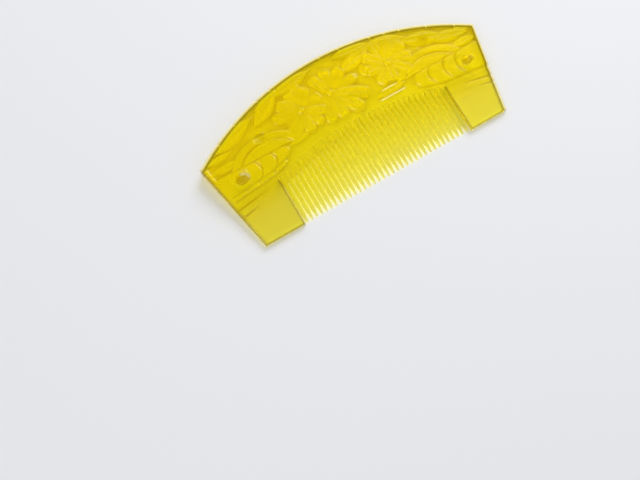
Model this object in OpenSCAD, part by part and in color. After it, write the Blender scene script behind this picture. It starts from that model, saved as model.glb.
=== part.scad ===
// Kushi comb: one plate of clear yellow plastic with an arched, carved spine,
// two broad guard teeth and a row of fine teeth. It lies on its flat back.
// X runs along the comb, Y from the tooth tips to the spine, Z up out of the carving.

/* [Outline] */
// Width across the two shoulders, where the spine meets the slanted ends
comb_w = 105; // [98:0.5:115]
// Width over the outer corners of the two guard teeth
foot_w = 92.3; // [84:0.1:97]
// Height from the tooth tips to the top of the arched spine
comb_h = 47; // [44:0.2:52]
// Height of the shoulders over the tooth tips
shoulder_h = 31; // [29:0.5:35]

/* [Thickness] */
// Thickness of the body's ground along the spine
spine_t = 5; // [4:0.1:7]
// Thickness where the body ends and the teeth begin
root_t = 3.3; // [2.6:0.1:3.8]
// Thickness at the tips of the guard teeth
guard_tip_t = 1.8; // [1.4:0.1:2.4]
// Thickness at the tips of the fine teeth
tooth_tip_t = 0.7; // [0.5:0.1:1.2]

/* [Teeth] */
// Number of fine teeth between the guard teeth
tooth_count = 35; // [27:1:37]
// Width of the mouth between the inner sides of the guard teeth
mouth_w = 64; // [60:0.5:68]
// Width of each sawn gap
gap_w = 0.5; // [0.4:0.05:0.8]
// Length by which the fine teeth end short of the guard teeth
tip_recess = 0.3; // [0.1:0.1:1]
// Height of the gap roots at the middle of the comb
root_mid_h = 22; // [20:0.5:23]
// Height of the gap roots beside the guard teeth
root_side_h = 16.9; // [15.5:0.1:18.5]
// Length of the ramp that a round saw blade leaves at the root of each gap
saw_ramp = 2.7; // [1:0.1:4]

/* [Rim and body] */
// Radius of the rounded front edge along the spine and the ends
rim_r = 1; // [0.6:0.1:1.4]
// Width of the plain rim between the outline and the carving
rim_w = 1.2; // [1:0.1:2]
// Bevel round the edge of the flat back
back_bevel = 0.4; // [0.2:0.05:0.6]
// Smooth band between the gap roots and the carving
root_band = 1.2; // [0.8:0.1:1.6]
// Height at which the guard teeth end on the slanted ends of the comb
base_end_h = 14.8; // [13.5:0.1:16]

/* [Carving] */
// Height of the highest petals over the ground
relief_h = 1; // [0.7:0.05:1.5]
// Length of a whole petal
petal_l = 12; // [10:0.5:13]
// Half width of a whole petal
petal_w = 2.7; // [2.2:0.1:3.2]
// Radius of the button at the middle of a blossom
button_r = 1.3; // [0.9:0.1:1.8]
// Length of a whole leaf
leaf_l = 18; // [15:0.5:20]
// Half width of a whole leaf
leaf_w = 3; // [2.4:0.1:3.4]
// Half width of the groove between two tongues of water
groove_w = 0.8; // [0.6:0.1:1.2]
// Depth of the scooped eye of an eddy
eye_depth = 2.4; // [1.5:0.1:2.8]
// Half width of the eye
eye_r = 2.9; // [2.2:0.1:3.4]
// Depth of an incised stroke where it runs out at the end of the comb
stroke_depth = 0.45; // [0.3:0.05:0.6]
// Width and depth of a nick where a carved line runs over the rim
nick_w = 0.6; // [0.4:0.1:0.9]

/* [Hidden] */

// Half widths at the shoulders, at the guard tips and of the mouth
half_w = comb_w / 2;
half_foot = foot_w / 2;
half_mouth = mouth_w / 2;

// The fine teeth: one more gap than teeth fill the mouth
tooth_w = (mouth_w - (tooth_count + 1) * gap_w) / tooth_count;
pitch = tooth_w + gap_w;
first_gap = -half_mouth + gap_w / 2;

// Radius of an arc from its half chord and its rise
function arc_r(half_chord, rise) = (half_chord * half_chord + rise * rise) / (2 * rise);
// Drop of an arc of radius r below its top, at distance x from its middle
function arc_drop(r, x) = r - sqrt(r * r - x * x);

spine_r = arc_r(half_w, comb_h - shoulder_h);
root_r = arc_r(half_mouth, root_mid_h - root_side_h);
spine_centre_h = comb_h - spine_r;

function spine_h(x) = comb_h - arc_drop(spine_r, x);
function root_h(x) = root_mid_h - arc_drop(root_r, x);

// Height of the gap roots in the mouth, and beyond it of the guard teeth's roots
function base_h(x) = abs(x) <= half_mouth ? root_h(x)
    : mix(root_side_h, base_end_h, (abs(x) - half_mouth) / (half_w - half_mouth));
// Lower border of the carving, a smooth band above the roots
function border_h(x) = base_h(x) + root_band;

function clamp01(t) = max(0, min(1, t));
function smooth(t) = let (c = clamp01(t)) c * c * (3 - 2 * c);
function mix(a, b, t) = a + (b - a) * t;

// Distance from a point to the slanted end on its side
end_angle = atan2(half_w - half_foot, shoulder_h);
function end_distance(x, y) =
    (half_foot - abs(x)) * cos(end_angle) + y * sin(end_angle);
function spine_distance(x, y) = spine_r - norm([x, y - spine_centre_h]);

// Blossoms and a bud: centre as shares of half_w and comb_h, radius of the raised bed that
// the petals grow out of as a share of petal_l
B_X = 0;
B_Y = 1;
B_BED = 2;
BLOSSOMS = [
    [-0.272, 0.697, 0.64], [-0.055, 0.715, 0.74], [0.366, 0.705, 0.62], [0.228, 0.745, 0.24]
];
bed_level = 0.4;

// Petals: blossom, direction in degrees, length as a share of petal_l,
// half width as a share of petal_w, height as a share of relief_h
P_BLOSSOM = 0;
P_TURN = 1;
P_LENGTH = 2;
P_WIDTH = 3;
P_LEVEL = 4;
PETALS = [
    [0, -133, 0.76, 1.00, 0.84], [0, -92, 0.70, 0.85, 0.94], [0, -56, 0.72, 0.72, 0.80],
    [0, -26, 0.80, 0.75, 0.98], [0, 12, 0.78, 0.85, 0.82], [0, 55, 0.74, 0.95, 0.88],
    [0, 98, 0.70, 0.95, 0.80], [0, 140, 0.74, 0.95, 0.90], [0, 172, 0.88, 0.80, 0.82],
    [1, -27, 1.18, 0.95, 1.00], [1, -53, 1.08, 0.95, 0.94], [1, -86, 0.84, 0.90, 0.84],
    [1, -117, 0.90, 0.85, 0.80], [1, -150, 0.66, 0.80, 0.74], [1, 6, 0.96, 0.75, 0.80],
    [1, 38, 0.86, 0.95, 0.92], [1, 76, 0.74, 0.90, 0.84], [1, 115, 0.72, 0.90, 0.90],
    [2, -98, 0.58, 0.85, 0.92], [2, -137, 0.68, 0.90, 0.82], [2, -44, 0.76, 0.90, 0.96],
    [2, -6, 0.80, 0.90, 0.86], [2, 28, 0.84, 0.95, 0.80], [2, 64, 0.84, 0.95, 0.90],
    [2, 99, 0.86, 0.85, 0.80], [2, 138, 0.80, 0.95, 0.92], [2, 174, 0.70, 0.85, 0.84]
];

// Leaves: stalk as shares of half_w and comb_h, direction in degrees, length as a
// share of leaf_l, half width as a share of leaf_w, height as a share of relief_h
L_X = 0;
L_Y = 1;
L_TURN = 2;
L_LENGTH = 3;
L_WIDTH = 4;
L_LEVEL = 5;
LEAVES = [
    [-0.90, 0.700, 18, 1.02, 0.95, 0.62], [-0.65, 0.580, 5, 0.84, 0.85, 0.55],
    [-0.58, 0.745, 34, 0.84, 0.95, 0.66], [-0.40, 0.880, 9, 0.90, 0.80, 0.58],
    [0.06, 0.930, -4, 0.80, 0.70, 0.56], [0.30, 0.900, -16, 0.80, 0.80, 0.62],
    [0.50, 0.805, -19, 0.92, 0.95, 0.66], [0.67, 0.710, -14, 0.80, 0.80, 0.55],
    [0.44, 0.560, 14, 0.60, 0.75, 0.58], [-0.96, 0.583, 2, 0.68, 0.50, 0.50],
    [-0.96, 0.650, 7, 0.56, 0.38, 0.46], [0.97, 0.578, 177, 0.54, 0.56, 0.50],
    [0.97, 0.652, 168, 0.50, 0.45, 0.46], [0.05, 0.800, 16, 0.86, 0.90, 0.56],
    [-0.27, 0.790, 68, 0.52, 0.75, 0.60], [0.17, 0.522, 2, 0.70, 0.48, 0.55],
    [-0.45, 0.515, 11, 0.56, 0.42, 0.48]
];

// Flowing water: heights as shares of shoulder_h, places across as shares of half_w
band_top_h = 0.822 * shoulder_h;
band_ground = 0.58;
// Rise of the band's lower line on the left end, over the border
band_lift = 1.5;
TONGUE_TIPS = [0.455, 0.555, 0.665, 0.755];
tongue_nose = 0.05 * half_w;
crest_x = 0.59 * half_w;
crest_h = 0.70 * shoulder_h;
crest_half_w = 0.27 * half_w;
crest_half_h = 0.337 * shoulder_h;
crest_inner = 0.74;

// Hollows, first the eyes of the two eddies and then pockets in the ground: centre as shares
// of half_w and shoulder_h, size as a share of eye_r, depth as a share of eye_depth
E_X = 0;
E_Y = 1;
E_SIZE = 2;
E_DEPTH = 3;
EYES = [
    [-0.80, 0.712, 1.00, 1.00], [0.83, 0.680, 0.85, 0.75],
    [-0.58, 1.010, 0.95, 0.30], [0.64, 1.085, 0.95, 0.26]
];
eye_flat = 0.72;

// Level of the plain rim as a share of relief_h, run of the step up at the lower border,
// and share of the rim's rounding that the guard teeth get
rim_level = 0.45;
border_run = 0.4;
guard_round = 0.5;

// Incised strokes on the guard teeth: height as a share of the guard tooth's, place of the
// inner end as a share of half_w
S_HEIGHT = 0;
S_INNER = 1;
STROKES = [[0.735, 0.78], [0.915, 0.68]];
// Half width of a stroke as a share of the guard tooth's height
stroke_half = 0.03;

// Nicks in the rim, as shares of half_w
NICKS = [-0.832, -0.686, -0.484, -0.381, 0.004, 0.143, 0.358, 0.457, 0.558, 0.726, 0.893];

// Outline of a petal: half width at share u of its length, widest at 0.63
function petal_outline(u) = sqrt(u * (1 - pow(u, 3))) / 0.687;

// Height of one petal: cupped between raised lips, rising from the middle to its tip
function petal_rise(x, y, p) =
    let (
        bloom = BLOSSOMS[p[P_BLOSSOM]],
        dx = x - bloom[B_X] * half_w,
        dy = y - bloom[B_Y] * comb_h,
        u = (dx * cos(p[P_TURN]) + dy * sin(p[P_TURN])) / (p[P_LENGTH] * petal_l),
        v = abs(dy * cos(p[P_TURN]) - dx * sin(p[P_TURN])) / (p[P_WIDTH] * petal_w)
    )
    u <= 0 || u >= 1 || v >= petal_outline(u) ? 0
        : let (q = v / petal_outline(u), edge = 1 - pow(q, 5), lip = 0.8 + 0.2 * q * q)
            p[P_LEVEL] * edge * lip * (0.62 + 0.38 * u) * smooth((1 - u) * 6);

// Bed of a blossom, with the button at its middle
function bloom_rise(x, y, bloom) =
    let (
        far = norm([x - bloom[B_X] * half_w, y - bloom[B_Y] * comb_h]),
        q = min(1, far / button_r)
    )
    max(0.95 * sqrt(1 - q * q * q), bed_level * smooth(3 - 3 * far / (bloom[B_BED] * petal_l)));

// Height of one leaf: pointed, arched across, with a groove for its midrib
function leaf_rise(x, y, l) =
    let (
        dx = x - l[L_X] * half_w,
        dy = y - l[L_Y] * comb_h,
        u = (dx * cos(l[L_TURN]) + dy * sin(l[L_TURN])) / (l[L_LENGTH] * leaf_l),
        v = abs(dy * cos(l[L_TURN]) - dx * sin(l[L_TURN])) / (l[L_WIDTH] * leaf_w)
    )
    u <= 0 || u >= 1 || v >= sin(180 * u) ? 0
        : let (q = v / sin(180 * u)) l[L_LEVEL] * (1 - pow(q, 4)) * (0.8 + 0.2 * smooth(v * 3));

// Groove of a carved line, 0 on the line and 1 beyond groove_w from it
function groove(d) = smooth(abs(d) / groove_w);

// Water band: tongues with round noses, nested towards the middle of the comb
function band_rise(x, y) =
    let (
        low = border_h(x) + (x < 0 ? band_lift : 0),
        t = clamp01(abs(2 * (y - low) / (band_top_h - low) - 1)),
        nose = abs(x) - tongue_nose * (1 - sqrt(1 - t * t)),
        near = min([for (tip = TONGUE_TIPS) abs(nose - tip * half_w)]),
        lines = (0.35 + 0.65 * groove(near)) * (0.35 + 0.65 * groove(y - low))
    )
    y > band_top_h || nose < TONGUE_TIPS[0] * half_w ? 0
        : band_ground * lines * (0.45 + 0.55 * groove(band_top_h - y));

// Wave crest over the band: a raised rib round a lower shell
function crest_rise(x, y) =
    let (e = norm([(abs(x) - crest_x) / crest_half_w, (y - crest_h) / crest_half_h]))
    y < band_top_h || e > 1 ? 0
        : 0.6 * groove(crest_half_w * (1 - e)) * (0.4 + 0.6 * groove(crest_half_w * (e - crest_inner)));

// How far a hollow goes down
function eye_drop(x, y) =
    max([for (e = EYES)
        let (
            r = e[E_SIZE] * eye_r,
            q = norm([(x - e[E_X] * half_w) / r, (y - e[E_Y] * shoulder_h) / (r * eye_flat)])
        )
        q >= 1 ? 0 : eye_depth * e[E_DEPTH] * smooth(1 - q * q)]);

// Carved height at a point, as a share of relief_h
function carving(x, y) = max(
    band_rise(x, y),
    crest_rise(x, y),
    max([for (l = LEAVES) leaf_rise(x, y, l)]),
    max([for (b = BLOSSOMS) bloom_rise(x, y, b)]),
    max([for (p = PETALS) petal_rise(x, y, p)])
);

// Rounded front edge: how far the front falls at distance d from the outline
function edge_drop(d) =
    let (inside = clamp01(1 - d / rim_r)) rim_r * (1 - sqrt(1 - inside * inside));

// Front of the carved body: its ground, a step up at the lower border, and the carving
function body_front(x, y) =
    let (
        low = border_h(x),
        edge = max(0, min(spine_distance(x, y), end_distance(x, y))),
        ground = mix(root_t, spine_t, pow(clamp01((y - low) / (spine_h(x) - low)), 0.8)),
        carved = mix(rim_level, carving(x, y), smooth(edge / rim_w - 1))
    )
    ground + relief_h * carved * smooth((y - low) / border_run) - eye_drop(x, y)
        - mix(guard_round, 1, smooth((y - low) / rim_w)) * edge_drop(edge);

// Front of a guard tooth: flat from its root to its tip, with softened edges
function guard_front(x, y) = mix(guard_tip_t, root_t, min(1, y / border_h(x)));
function guard_surface(x, y) =
    guard_front(x, y) - guard_round * edge_drop(max(0, min(y, end_distance(x, y))));

function front(x, y) = y > border_h(x) ? body_front(x, y) : guard_surface(x, y);

// Depth of the strokes in a guard tooth, in column c and at share t of its height
function stroke_drop(c, t) =
    max([for (s = STROKES)
        stroke_depth * clamp01((abs(c) / half_w - s[S_INNER]) / (1 - s[S_INNER]))
            * clamp01(1 - abs(t - s[S_HEIGHT]) / stroke_half)]);

// Rows of points on a guard tooth, as shares of its height, from the tip to the root: at
// its edge, at its middle, and both sides and the bottom of each stroke
GUARD_ROWS = concat(
    [0, 0.02, 0.05, 0.4],
    [for (s = STROKES, side = [-1, 0, 1]) s[S_HEIGHT] + side * stroke_half]
);
// Rows on the body: offsets up from the roots, even rows, and offsets down from the spine
ROOT_OFFSETS = [0, root_band, root_band + border_run];
body_rows = 27;
RIM_OFFSETS = [for (share = [1, 0.5, 0.15, 0]) share * rim_r];
guard_row_count = len(GUARD_ROWS);
body_row_count = len(ROOT_OFFSETS) + body_rows - 1 + len(RIM_OFFSETS);

// Height of row j of the body, between a column's root and its top on the spine
function body_row_h(low, high, j) =
    j < len(ROOT_OFFSETS) ? low + ROOT_OFFSETS[j]
    : j < len(ROOT_OFFSETS) + body_rows - 1
        ? mix(
            low + root_band + border_run, high - rim_r,
            (j - len(ROOT_OFFSETS) + 1) / body_rows
        )
    : high - RIM_OFFSETS[j - len(ROOT_OFFSETS) - body_rows + 1];

// Columns of points, as places across at the roots: close together at the ends of the
// comb, even over the guard teeth, and one on each tooth and in each gap between them
guard_columns = 19;
END_OFFSETS = [for (share = [0, 0.15, 0.5]) share * rim_r];
half_root = half_foot + (half_w - half_foot) * base_end_h / shoulder_h;
SIDE_COLUMNS = concat(
    [for (d = END_OFFSETS) half_root - d],
    [for (i = [0 : guard_columns]) mix(half_root - rim_r, half_mouth, i / guard_columns)]
);
MOUTH_COLUMNS = [for (i = [0 : 2 * tooth_count]) first_gap + i * pitch / 2];
side_count = len(SIDE_COLUMNS);
mouth_count = len(MOUTH_COLUMNS);
COLUMNS = concat(
    [for (c = SIDE_COLUMNS) -c],
    MOUTH_COLUMNS,
    [for (i = [side_count - 1 : -1 : 0]) SIDE_COLUMNS[i]]
);
last_column = len(COLUMNS) - 1;
function on_guard(i) = i < side_count || i >= side_count + mouth_count;

// Points of one column: on a guard tooth they start at its tip, elsewhere at the gap roots
function foot_x(c) =
    sign(c) * mix(half_mouth, half_foot, (abs(c) - half_mouth) / (half_root - half_mouth));
function guard_points(c) = [for (t = GUARD_ROWS)
    let (x = mix(foot_x(c), c, t), y = t * base_h(c)) [x, y, front(x, y) - stroke_drop(c, t)]];
function body_points(c) =
    let (top_x = c * half_w / half_root, low = base_h(c), high = spine_h(top_x))
    [for (j = [0 : body_row_count - 1])
        let (
            y = body_row_h(low, high, j),
            x = mix(c, top_x, (y - low) / (high - low))
        )
        [x, y, front(x, y)]];
FRONT = [for (i = [0 : last_column]) each concat(
    on_guard(i) ? guard_points(COLUMNS[i]) : [],
    body_points(COLUMNS[i])
)];

// Number of the point in column i and row j, where row 0 is the first row of the body
function guards_before(i) = min(i, side_count) + max(0, i - side_count - mouth_count);
function at(i, j) =
    i * body_row_count + guards_before(i) * guard_row_count
        + (on_guard(i) ? guard_row_count : 0) + j;

// Numbers of the points round the outline, anticlockwise seen from the front
LEFT_COLUMNS = [0 : side_count - 1];
RIGHT_COLUMNS = [side_count + mouth_count : last_column];
top_row = body_row_count - 1;
RING = concat(
    [for (i = LEFT_COLUMNS) at(i, -guard_row_count)],
    [for (j = [1 - guard_row_count : 0]) at(side_count - 1, j)],
    [for (i = [side_count : side_count + mouth_count]) at(i, 0)],
    [for (j = [-1 : -1 : 1 - guard_row_count]) at(side_count + mouth_count, j)],
    [for (i = RIGHT_COLUMNS) at(i, -guard_row_count)],
    [for (j = [1 - guard_row_count : top_row]) at(last_column, j)],
    [for (i = [last_column - 1 : -1 : 0]) at(i, top_row)],
    [for (j = [top_row - 1 : -1 : 1 - guard_row_count]) at(0, j)]
);
ring_count = len(RING);
wall_start = len(FRONT);
back_start = wall_start + ring_count;

// The wall and the flat back. In the mouth the wall slants: its foot lies lower, on the ramp
function in_mouth(p) = abs(p[0]) < half_mouth + 0.001 && p[1] < base_h(p[0]) + 0.001;
function saw_drop(p) =
    in_mouth(p) ? saw_ramp * smooth(1 + (p[1] - root_h(p[0])) / (2 * saw_ramp)) : 0;
WALL = [for (k = RING) let (p = FRONT[k]) [p[0], p[1] - saw_drop(p), back_bevel]];
BACK = [for (k = RING)
    let (p = FRONT[k])
    in_mouth(p) ? [p[0], p[1] + (p[1] < 0.001 ? back_bevel : -saw_drop(p)), 0]
        : [p[0] * (1 - back_bevel / half_w), mix(p[1], comb_h / 2, 2 * back_bevel / comb_h), 0]];

// Two triangles of the front between columns i and i + 1 and rows j and j + 1
function quad(i, j) = [
    [at(i, j), at(i + 1, j + 1), at(i + 1, j)],
    [at(i, j), at(i, j + 1), at(i + 1, j + 1)]
];

// Spine body and both guard teeth: the carved front, the wall round it and the flat back
module plate() {
    polyhedron(
        points = concat(FRONT, WALL, BACK),
        faces = concat(
            [for (i = [0 : last_column - 1], j = [0 : top_row - 1]) each quad(i, j)],
            [for (i = [0 : last_column - 1], j = [-guard_row_count : -1])
                if (on_guard(i) && on_guard(i + 1)) each quad(i, j)],
            [for (k = [0 : ring_count - 1])
                let (n = (k + 1) % ring_count)
                [RING[k], RING[n], wall_start + n, wall_start + k]],
            [for (k = [0 : ring_count - 1])
                let (n = (k + 1) % ring_count)
                [wall_start + k, wall_start + n, back_start + n, back_start + k]],
            [[for (k = [0 : ring_count - 1]) back_start + k]]
        ),
        convexity = 10
    );
}

// Sections of a fine tooth: height as a share of the gap root's height, half width as a share
// of the tooth's width, and how much of the taper from tip to root thickness is reached
T_HEIGHT = 0;
T_HALF = 1;
T_TAPER = 2;
TOOTH_SECTIONS = [[0.00, 0.17, 0.00], [0.18, 0.50, 0.28], [0.50, 0.50, 0.62], [1.00, 0.50, 0.94]];
root_overlap = 0.4;

// One fine tooth: thin and pointed at its tip, thick where it grows out of the body
module tooth(number) {
    x = first_gap + (number + 0.5) * pitch;
    reach = root_h(x) + root_overlap - tip_recess;
    corners = [for (row = TOOTH_SECTIONS, side = [-1, 1], level = [0, 1]) [
        x + side * row[T_HALF] * tooth_w,
        tip_recess + row[T_HEIGHT] * reach,
        level * mix(tooth_tip_t, root_t, row[T_TAPER])
    ]];
    hull() polyhedron(
        points = corners,
        faces = [for (k = [0 : len(corners) - 3]) [k, k + 1, k + 2]]
    );
}

// One nick across the rounded rim, square to the spine
module nick(place) {
    x = place * half_w;
    turn = asin(x / spine_r);
    translate([0, spine_centre_h, 0]) rotate([0, 0, -turn])
        translate([0, spine_r, spine_t + 0.45 * relief_h - 0.3 * rim_r])
            rotate([-45, 0, 0]) rotate([0, 45, 0]) cube([nick_w, 3 * rim_r, nick_w], center = true);
}

module comb() {
    color([0.88, 0.78, 0.05]) translate([0, -comb_h / 2, 0]) difference() {
        union() {
            plate();
            for (number = [0 : tooth_count - 1]) tooth(number);
        }
        for (place = NICKS) nick(place);
    }
}

comb();
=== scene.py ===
# %% [markdown]
# # A carved comb in clear yellow plastic
#
# A kushi is a broad comb that is set into a hairdo as an ornament. This one is a single
# plate of clear yellow plastic. Its arched spine is carved with blossoms, leaves and running
# water, two broad guard teeth stand at its ends, and a row of fine teeth is sawn between them.
#
# What makes it look as it does is light that goes in through the polished front, is bent by
# the carving, crosses a few millimetres of yellow, and comes back from the pale table. So the
# lesson has two halves. The carving is made as real geometry, because only geometry bends
# light. Then one material, part clear and part milky, puts the colour into the depth.

import math

import bpy
import numpy as np
from mathutils.geometry import delaunay_2d_cdt
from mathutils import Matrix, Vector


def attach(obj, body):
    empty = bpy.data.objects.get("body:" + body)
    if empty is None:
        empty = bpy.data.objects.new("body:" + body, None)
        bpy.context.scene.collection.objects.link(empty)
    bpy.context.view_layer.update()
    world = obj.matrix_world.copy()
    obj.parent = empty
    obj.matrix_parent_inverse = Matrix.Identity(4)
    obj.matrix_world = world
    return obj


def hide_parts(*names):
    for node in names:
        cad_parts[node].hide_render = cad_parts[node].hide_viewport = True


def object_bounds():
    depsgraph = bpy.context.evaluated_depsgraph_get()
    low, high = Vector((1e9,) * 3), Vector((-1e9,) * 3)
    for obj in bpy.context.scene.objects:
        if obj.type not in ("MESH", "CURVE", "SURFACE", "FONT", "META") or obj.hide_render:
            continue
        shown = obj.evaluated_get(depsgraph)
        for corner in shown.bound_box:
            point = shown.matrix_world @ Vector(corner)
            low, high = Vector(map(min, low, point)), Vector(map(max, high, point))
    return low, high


# a millimetre in metres, and how many of them make one metre
MM, PER_METRE = 0.001, 1000
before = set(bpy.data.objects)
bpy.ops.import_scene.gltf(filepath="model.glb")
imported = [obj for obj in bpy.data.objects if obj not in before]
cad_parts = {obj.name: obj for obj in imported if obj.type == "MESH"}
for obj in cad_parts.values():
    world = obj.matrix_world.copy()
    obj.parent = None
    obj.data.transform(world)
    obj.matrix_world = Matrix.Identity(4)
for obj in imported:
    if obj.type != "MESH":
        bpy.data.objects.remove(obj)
cad_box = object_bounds()
cad_size = [round(PER_METRE * (b - a), 1) for a, b in zip(*cad_box)]
print("packed nodes:", sorted(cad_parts), "size in mm:", cad_size)

# %% [markdown]
# ## Sizes
#
# All sizes are in millimetres, with X along the comb, Y up from the tips of the teeth to the
# spine and Z out of the flat back. They become metres only where the mesh is made, which also
# moves the comb's middle to the origin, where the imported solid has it.

# %% Sizes of the comb
COMB_H, SHOULDER_H = 47.0, 31.0
# half the width at the shoulders, at the feet of the guard teeth, and between those teeth
HALF_W, HALF_FOOT, HALF_MOUTH = 52.5, 46.15, 32.0
SPINE_T, ROOT_T, GUARD_TIP_T, TOOTH_TIP_T = 5.0, 3.3, 1.8, 0.7
TOOTH_COUNT, GAP_W, TIP_RECESS = 35, 0.5, 0.3
# height of the gap roots in the middle and at the side of the mouth, and of their line at an end
ROOT_MID_H, ROOT_SIDE_H, BASE_END_H = 22.0, 16.9, 14.8
# smooth band over the roots, and how far the step from it to the carving runs
ROOT_BAND, BORDER_RUN = 1.2, 0.4
RELIEF_H = 1.0

# width of the rim, and radius of the edges of the outline, of the feet and of the gaps
RIM_W, RIM_R, FOOT_R, GAP_R = 1.2, 1.0, 0.5, 0.2

TOOTH_W = (2 * HALF_MOUTH - (TOOTH_COUNT + 1) * GAP_W) / TOOTH_COUNT
PITCH = TOOTH_W + GAP_W
print(f"a tooth is {TOOTH_W:.2f} mm wide, one every {PITCH:.2f} mm")


# %% Small helpers for blending
def clamp01(t):
    """t, held between 0 and 1."""
    return np.clip(t, 0, 1)


def smooth(t):
    """An S-curve from 0 to 1: three times t squared less twice t cubed."""
    c = clamp01(t)
    return c * c * (3 - 2 * c)


def mix(a, b, t):
    """a where t is 0, b where t is 1, and a straight line between."""
    return a + (b - a) * t


# %% [markdown]
# ## The outline
#
# A comb blank is sawn from sheet along a few simple curves: one circle for the spine, another,
# flatter one for the roots of the teeth, and two slanted ends. Each curve is a function of X,
# so anything can be placed by its distance from it.

# %% Curves of the outline
def arc_radius(half_chord, rise):
    """Radius of the circle through a chord's ends and its top: (chord² + rise²) / 2 rise."""
    return (half_chord**2 + rise**2) / (2 * rise)


SPINE_R = arc_radius(HALF_W, COMB_H - SHOULDER_H)
ROOT_R = arc_radius(HALF_MOUTH, ROOT_MID_H - ROOT_SIDE_H)
END_ANGLE = math.atan2(HALF_W - HALF_FOOT, SHOULDER_H)
HALF_ROOT = HALF_FOOT + (HALF_W - HALF_FOOT) * BASE_END_H / SHOULDER_H


def spine_h(x):
    """Height of the spine: its top less the drop of its circle at x."""
    return COMB_H - SPINE_R + np.sqrt(SPINE_R**2 - x**2)


def root_h(x):
    """Height of the gap roots: a flat circle in the mouth, then a line down to each end."""
    inside = np.minimum(abs(x), HALF_MOUTH)
    arc = ROOT_MID_H - ROOT_R + np.sqrt(ROOT_R**2 - inside**2)
    out = (abs(x) - HALF_MOUTH) / (HALF_W - HALF_MOUTH)
    return np.where(abs(x) <= HALF_MOUTH, arc, mix(ROOT_SIDE_H, BASE_END_H, out))


def spine_distance(x, y):
    """Distance in from the spine: its radius less the distance from its centre."""
    return SPINE_R - np.hypot(x, y - (COMB_H - SPINE_R))


def end_distance(x, y):
    """Distance in from the slanted end on the point's side."""
    return (HALF_FOOT - abs(x)) * math.cos(END_ANGLE) + y * math.sin(END_ANGLE)


def edge_distance(x, y):
    """Distance from the spine or from the slanted end, whichever is nearer."""
    return np.maximum(0, np.minimum(spine_distance(x, y), end_distance(x, y)))


def slot_distance(x, y):
    """Distance from the nearest sawn gap, seen as a slot that ends at the root curve."""
    place = np.mod(x + HALF_MOUTH, PITCH)
    aside = np.maximum(0, np.minimum(place - GAP_W, PITCH - place))
    aside = np.where(abs(x) > HALF_MOUTH, abs(x) - HALF_MOUTH, aside)
    return np.hypot(aside, np.maximum(0, y - root_h(x)))


def rounding(distance, radius):
    """How far a rounded edge has fallen: a quarter circle of the radius at its rim."""
    inside = clamp01(1 - distance / radius)
    return radius * (1 - np.sqrt(1 - inside**2))


print(f"spine radius {SPINE_R:.1f} mm, root radius {ROOT_R:.1f} mm")

# %% [markdown]
# ## The carving
#
# The carver sinks the ground and leaves the flowers standing. Every motif is a small height
# field: a function that says how high it stands at (x, y), as a share of the relief's height.
# The carving is then the highest of them at each point, which is what overlapping petals are.
#
# The tables list them, as shares of the comb's half width and height, with one row for each petal
# or leaf.

# %% Tables of blossoms, petals and leaves
# three blossoms and a bud: centre across and up, radius of the bed as a share of a petal
BLOSSOMS = np.array([
    [-0.272, 0.697, 0.64], [-0.055, 0.715, 0.74], [0.366, 0.705, 0.62], [0.228, 0.745, 0.24],
]) * [HALF_W, COMB_H, 1]
BED_LEVEL = 0.4
PETAL_L, PETAL_W, BUTTON_R = 12.0, 2.7, 1.3
# blossom, direction in degrees, length, half width and height as shares
PETALS = [
    [0, -133, 0.76, 1.00, 0.84], [0, -92, 0.70, 0.85, 0.94], [0, -56, 0.72, 0.72, 0.80],
    [0, -26, 0.80, 0.75, 0.98], [0, 12, 0.78, 0.85, 0.82], [0, 55, 0.74, 0.95, 0.88],
    [0, 98, 0.70, 0.95, 0.80], [0, 140, 0.74, 0.95, 0.90], [0, 172, 0.88, 0.80, 0.82],
    [1, -27, 1.18, 0.95, 1.00], [1, -53, 1.08, 0.95, 0.94], [1, -86, 0.84, 0.90, 0.84],
    [1, -117, 0.90, 0.85, 0.80], [1, -150, 0.66, 0.80, 0.74], [1, 6, 0.96, 0.75, 0.80],
    [1, 38, 0.86, 0.95, 0.92], [1, 76, 0.74, 0.90, 0.84], [1, 115, 0.72, 0.90, 0.90],
    [2, -98, 0.58, 0.85, 0.92], [2, -137, 0.68, 0.90, 0.82], [2, -44, 0.76, 0.90, 0.96],
    [2, -6, 0.80, 0.90, 0.86], [2, 28, 0.84, 0.95, 0.80], [2, 64, 0.84, 0.95, 0.90],
    [2, 99, 0.86, 0.85, 0.80], [2, 138, 0.80, 0.95, 0.92], [2, 174, 0.70, 0.85, 0.84],
]
LEAF_L, LEAF_W = 18.0, 3.0
# stalk across and up, direction in degrees, length, half width and height as shares
LEAVES = [
    [-0.90, 0.700, 18, 1.02, 0.95, 0.62], [-0.65, 0.580, 5, 0.84, 0.85, 0.55],
    [-0.58, 0.745, 34, 0.84, 0.95, 0.66], [-0.40, 0.880, 9, 0.90, 0.80, 0.58],
    [0.06, 0.930, -4, 0.80, 0.70, 0.56], [0.30, 0.900, -16, 0.80, 0.80, 0.62],
    [0.50, 0.805, -19, 0.92, 0.95, 0.66], [0.67, 0.710, -14, 0.80, 0.80, 0.55],
    [0.44, 0.560, 14, 0.60, 0.75, 0.58], [-0.96, 0.583, 2, 0.68, 0.50, 0.50],
    [-0.96, 0.650, 7, 0.56, 0.38, 0.46], [0.97, 0.578, 177, 0.54, 0.56, 0.50],
    [0.97, 0.652, 168, 0.50, 0.45, 0.46], [0.05, 0.800, 16, 0.86, 0.90, 0.56],
    [-0.27, 0.790, 68, 0.52, 0.75, 0.60], [0.17, 0.522, 2, 0.70, 0.48, 0.55],
    [-0.45, 0.515, 11, 0.56, 0.42, 0.48],
]
print(len(PETALS), "petals and", len(LEAVES), "leaves")


# %% Height of petals, buttons and leaves
# a petal's outline formula is divided by its widest value, so that it peaks at 1
PETAL_PEAK = 0.687
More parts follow.
